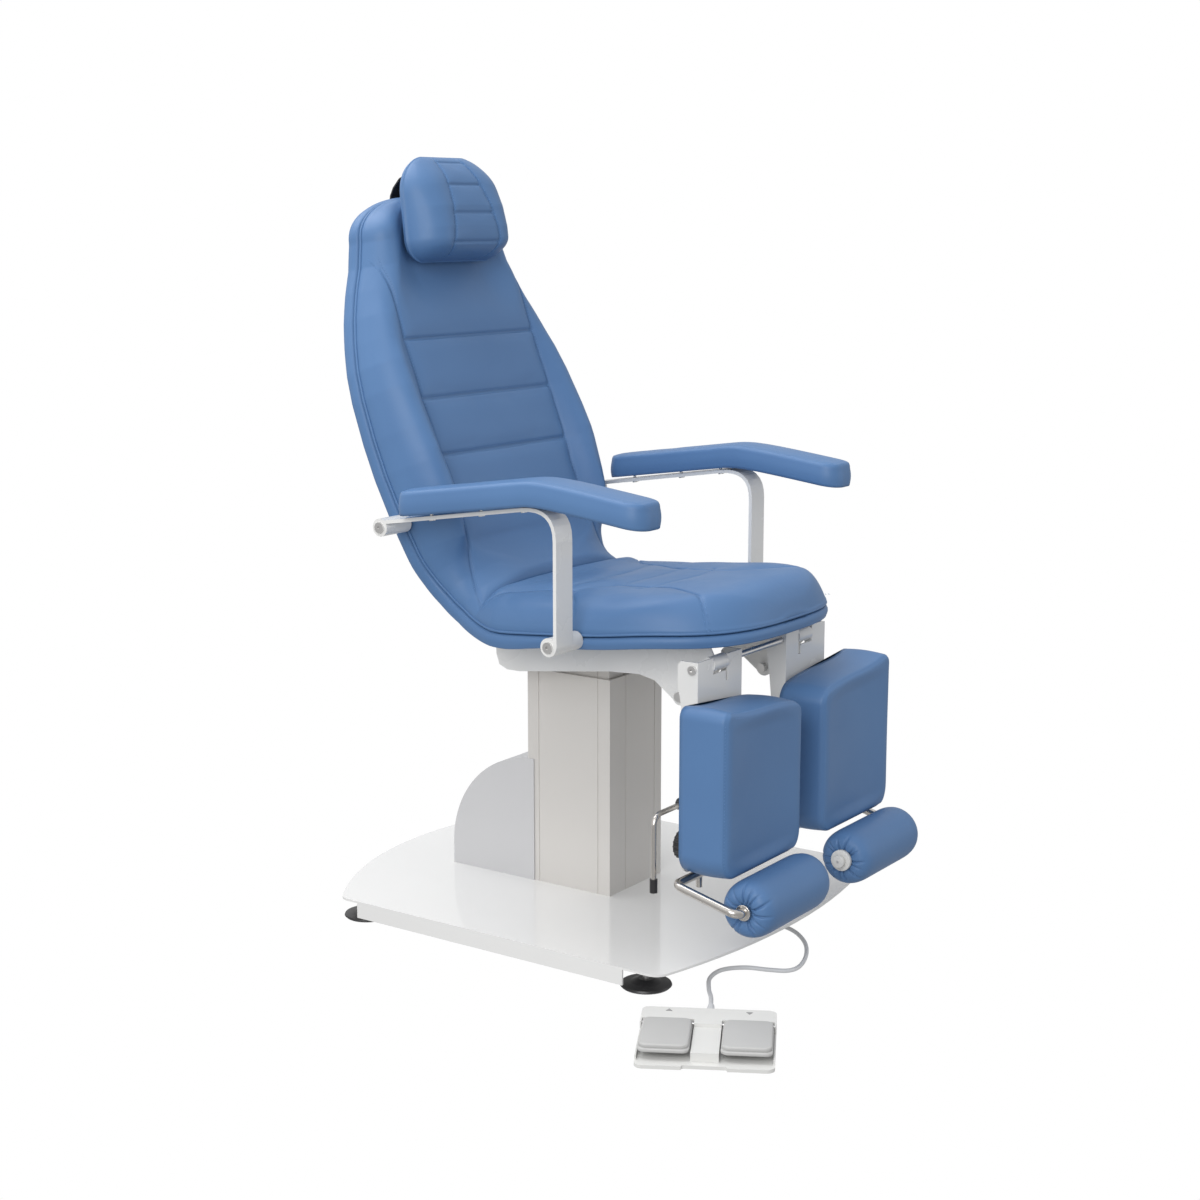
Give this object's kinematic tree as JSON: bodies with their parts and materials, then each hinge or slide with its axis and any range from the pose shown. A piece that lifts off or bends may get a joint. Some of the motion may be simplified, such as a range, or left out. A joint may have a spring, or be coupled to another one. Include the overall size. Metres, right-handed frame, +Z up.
{
  "type": "podiatry chair",
  "caption": "Height-adjustable podiatry chair with a one-piece padded seat and back, fixed armrests, folding leg rests with foot rolls, and a foot control on a cable.",
  "frame": {"origin": "on the floor, in the middle of the whole outline, foot control and cable included", "axes": "+Z up, the sitter faces -Y, +X is the sitter's left"},
  "size_m": [1.0128, 1.1712, 1.4754],
  "materials": {
    "white_paint": "gloss",
    "white_plastic": "gloss",
    "grey_plastic": "satin",
    "black_plastic": "satin",
    "black_metal": "satin",
    "blue_vinyl": "satin grained vinyl",
    "aluminium": "satin anodised",
    "stainless": "polished stainless",
    "steel": "bright zinc",
    "grey_rubber": "satin",
    "rubber": "matte"
  },
  "bodies": {
    "base": {"base_plate": "white_paint", "base_frame": "white_paint", "levelling_feet": "black_plastic", "foot_studs": "steel", "column_outer": "aluminium", "column_glides": "white_plastic", "lift_actuator": "grey_plastic", "rear_cover": "grey_plastic", "control_box": "grey_plastic", "cable_gland": "black_plastic", "control_cable": "grey_rubber", "cable_relief": "grey_rubber", "control_housing": "white_plastic", "control_feet": "rubber", "pedal_pins": "steel"},
    "pedal_up": {"pedal_up": "grey_plastic"},
    "pedal_down": {"pedal_down": "grey_plastic"},
    "seat": {"column_inner": "aluminium", "lift_rod": "steel", "seat_frame": "white_paint", "stop_bolts": "steel", "hinge_shaft": "steel", "hinge_screws": "steel", "seat_shell": "blue_vinyl", "seat_cushion": "blue_vinyl", "back_cushion": "blue_vinyl", "armrest_bar_right": "white_paint", "armrest_bar_left": "white_paint", "armrest_caps": "steel", "armrest_bolts": "steel", "armrest_pad_screws": "steel", "armrest_pad_right": "blue_vinyl", "armrest_pad_left": "blue_vinyl", "headrest_guide": "black_plastic"},
    "headrest": {"headrest_bracket": "black_metal", "headrest_pillow": "blue_vinyl"},
    "leg_right": {"leg_bracket_right": "white_paint"},
    "calf_right": {"calf_carriage_right": "white_paint", "calf_pad_right": "blue_vinyl"},
    "lever_right": {"clamp_lever_right": "stainless", "lever_fittings_right": "black_plastic"},
    "knob_right": {"clamp_knob_right": "black_plastic"},
    "roll_arm_right": {"roll_arm_right": "stainless", "roll_retainers_right": "white_plastic"},
    "roll_right": {"foot_roll_right": "blue_vinyl"},
    "leg_left": {"leg_bracket_left": "white_paint"},
    "calf_left": {"calf_carriage_left": "white_paint", "calf_pad_left": "blue_vinyl"},
    "lever_left": {"clamp_lever_left": "stainless", "lever_fittings_left": "black_plastic"},
    "knob_left": {"clamp_knob_left": "black_plastic"},
    "roll_arm_left": {"roll_arm_left": "stainless", "roll_retainers_left": "white_plastic"},
    "roll_left": {"foot_roll_left": "blue_vinyl"}
  },
  "joints": [
    {"name": "seat_lift", "type": "slide", "parent": "base", "child": "seat", "axis": [0, 0, 1], "range_m": [0, 0.3]},
    {"name": "headrest_slide", "type": "slide", "parent": "seat", "child": "headrest", "axis": [0, 0.1392, 0.9903], "range_m": [0, 0.05]},
    {"name": "leg_lift_right", "type": "hinge", "parent": "seat", "child": "leg_right", "pos_m": [-0.0396, -0.24895, 0.569], "axis": [-1, 0, 0], "range_deg": [0, 80]},
    {"name": "calf_slide_right", "type": "slide", "parent": "leg_right", "child": "calf_right", "axis": [0, 0, -1], "range_m": [0, 0.04]},
    {"name": "clamp_lever_right", "type": "hinge", "parent": "calf_right", "child": "lever_right", "pos_m": [-0.1056, -0.22145, 0.318], "axis": [0, 1, 0], "range_deg": [0, 60]},
    {"name": "clamp_knob_right", "type": "hinge", "parent": "calf_right", "child": "knob_right", "pos_m": [-0.0996, -0.22795, 0.243], "axis": [0, -1, 0], "continuous": true},
    {"name": "roll_slide_right", "type": "slide", "parent": "calf_right", "child": "roll_arm_right", "axis": [0, 0, -1], "range_m": [0, 0.06]},
    {"name": "roll_spin_right", "type": "hinge", "parent": "roll_arm_right", "child": "roll_right", "pos_m": [-0.0556, -0.39795, 0.171], "axis": [1, 0, 0], "continuous": true},
    {"name": "leg_lift_left", "type": "hinge", "parent": "seat", "child": "leg_left", "pos_m": [0.2724, -0.24895, 0.569], "axis": [-1, 0, 0], "range_deg": [0, 80]},
    {"name": "calf_slide_left", "type": "slide", "parent": "leg_left", "child": "calf_left", "axis": [0, 0, -1], "range_m": [0, 0.04]},
    {"name": "clamp_lever_left", "type": "hinge", "parent": "calf_left", "child": "lever_left", "pos_m": [0.3384, -0.22145, 0.318], "axis": [0, -1, 0], "range_deg": [0, 60]},
    {"name": "clamp_knob_left", "type": "hinge", "parent": "calf_left", "child": "knob_left", "pos_m": [0.3324, -0.22795, 0.243], "axis": [0, -1, 0], "continuous": true},
    {"name": "roll_slide_left", "type": "slide", "parent": "calf_left", "child": "roll_arm_left", "axis": [0, 0, -1], "range_m": [0, 0.06]},
    {"name": "roll_spin_left", "type": "hinge", "parent": "roll_arm_left", "child": "roll_left", "pos_m": [0.2884, -0.39795, 0.171], "axis": [1, 0, 0], "continuous": true},
    {"name": "pedal_up_press", "type": "hinge", "parent": "base", "child": "pedal_up", "pos_m": [-0.36671, -0.3636, 0.025], "axis": [0.4848, -0.8746, 0], "range_deg": [0, 5], "stiffness_Nm_per_rad": 6, "springref_deg": -1.72},
    {"name": "pedal_down_press", "type": "hinge", "parent": "base", "child": "pedal_down", "pos_m": [-0.30077, -0.48255, 0.025], "axis": [0.4848, -0.8746, 0], "range_deg": [0, 5], "stiffness_Nm_per_rad": 6, "springref_deg": -1.72}
  ]
}
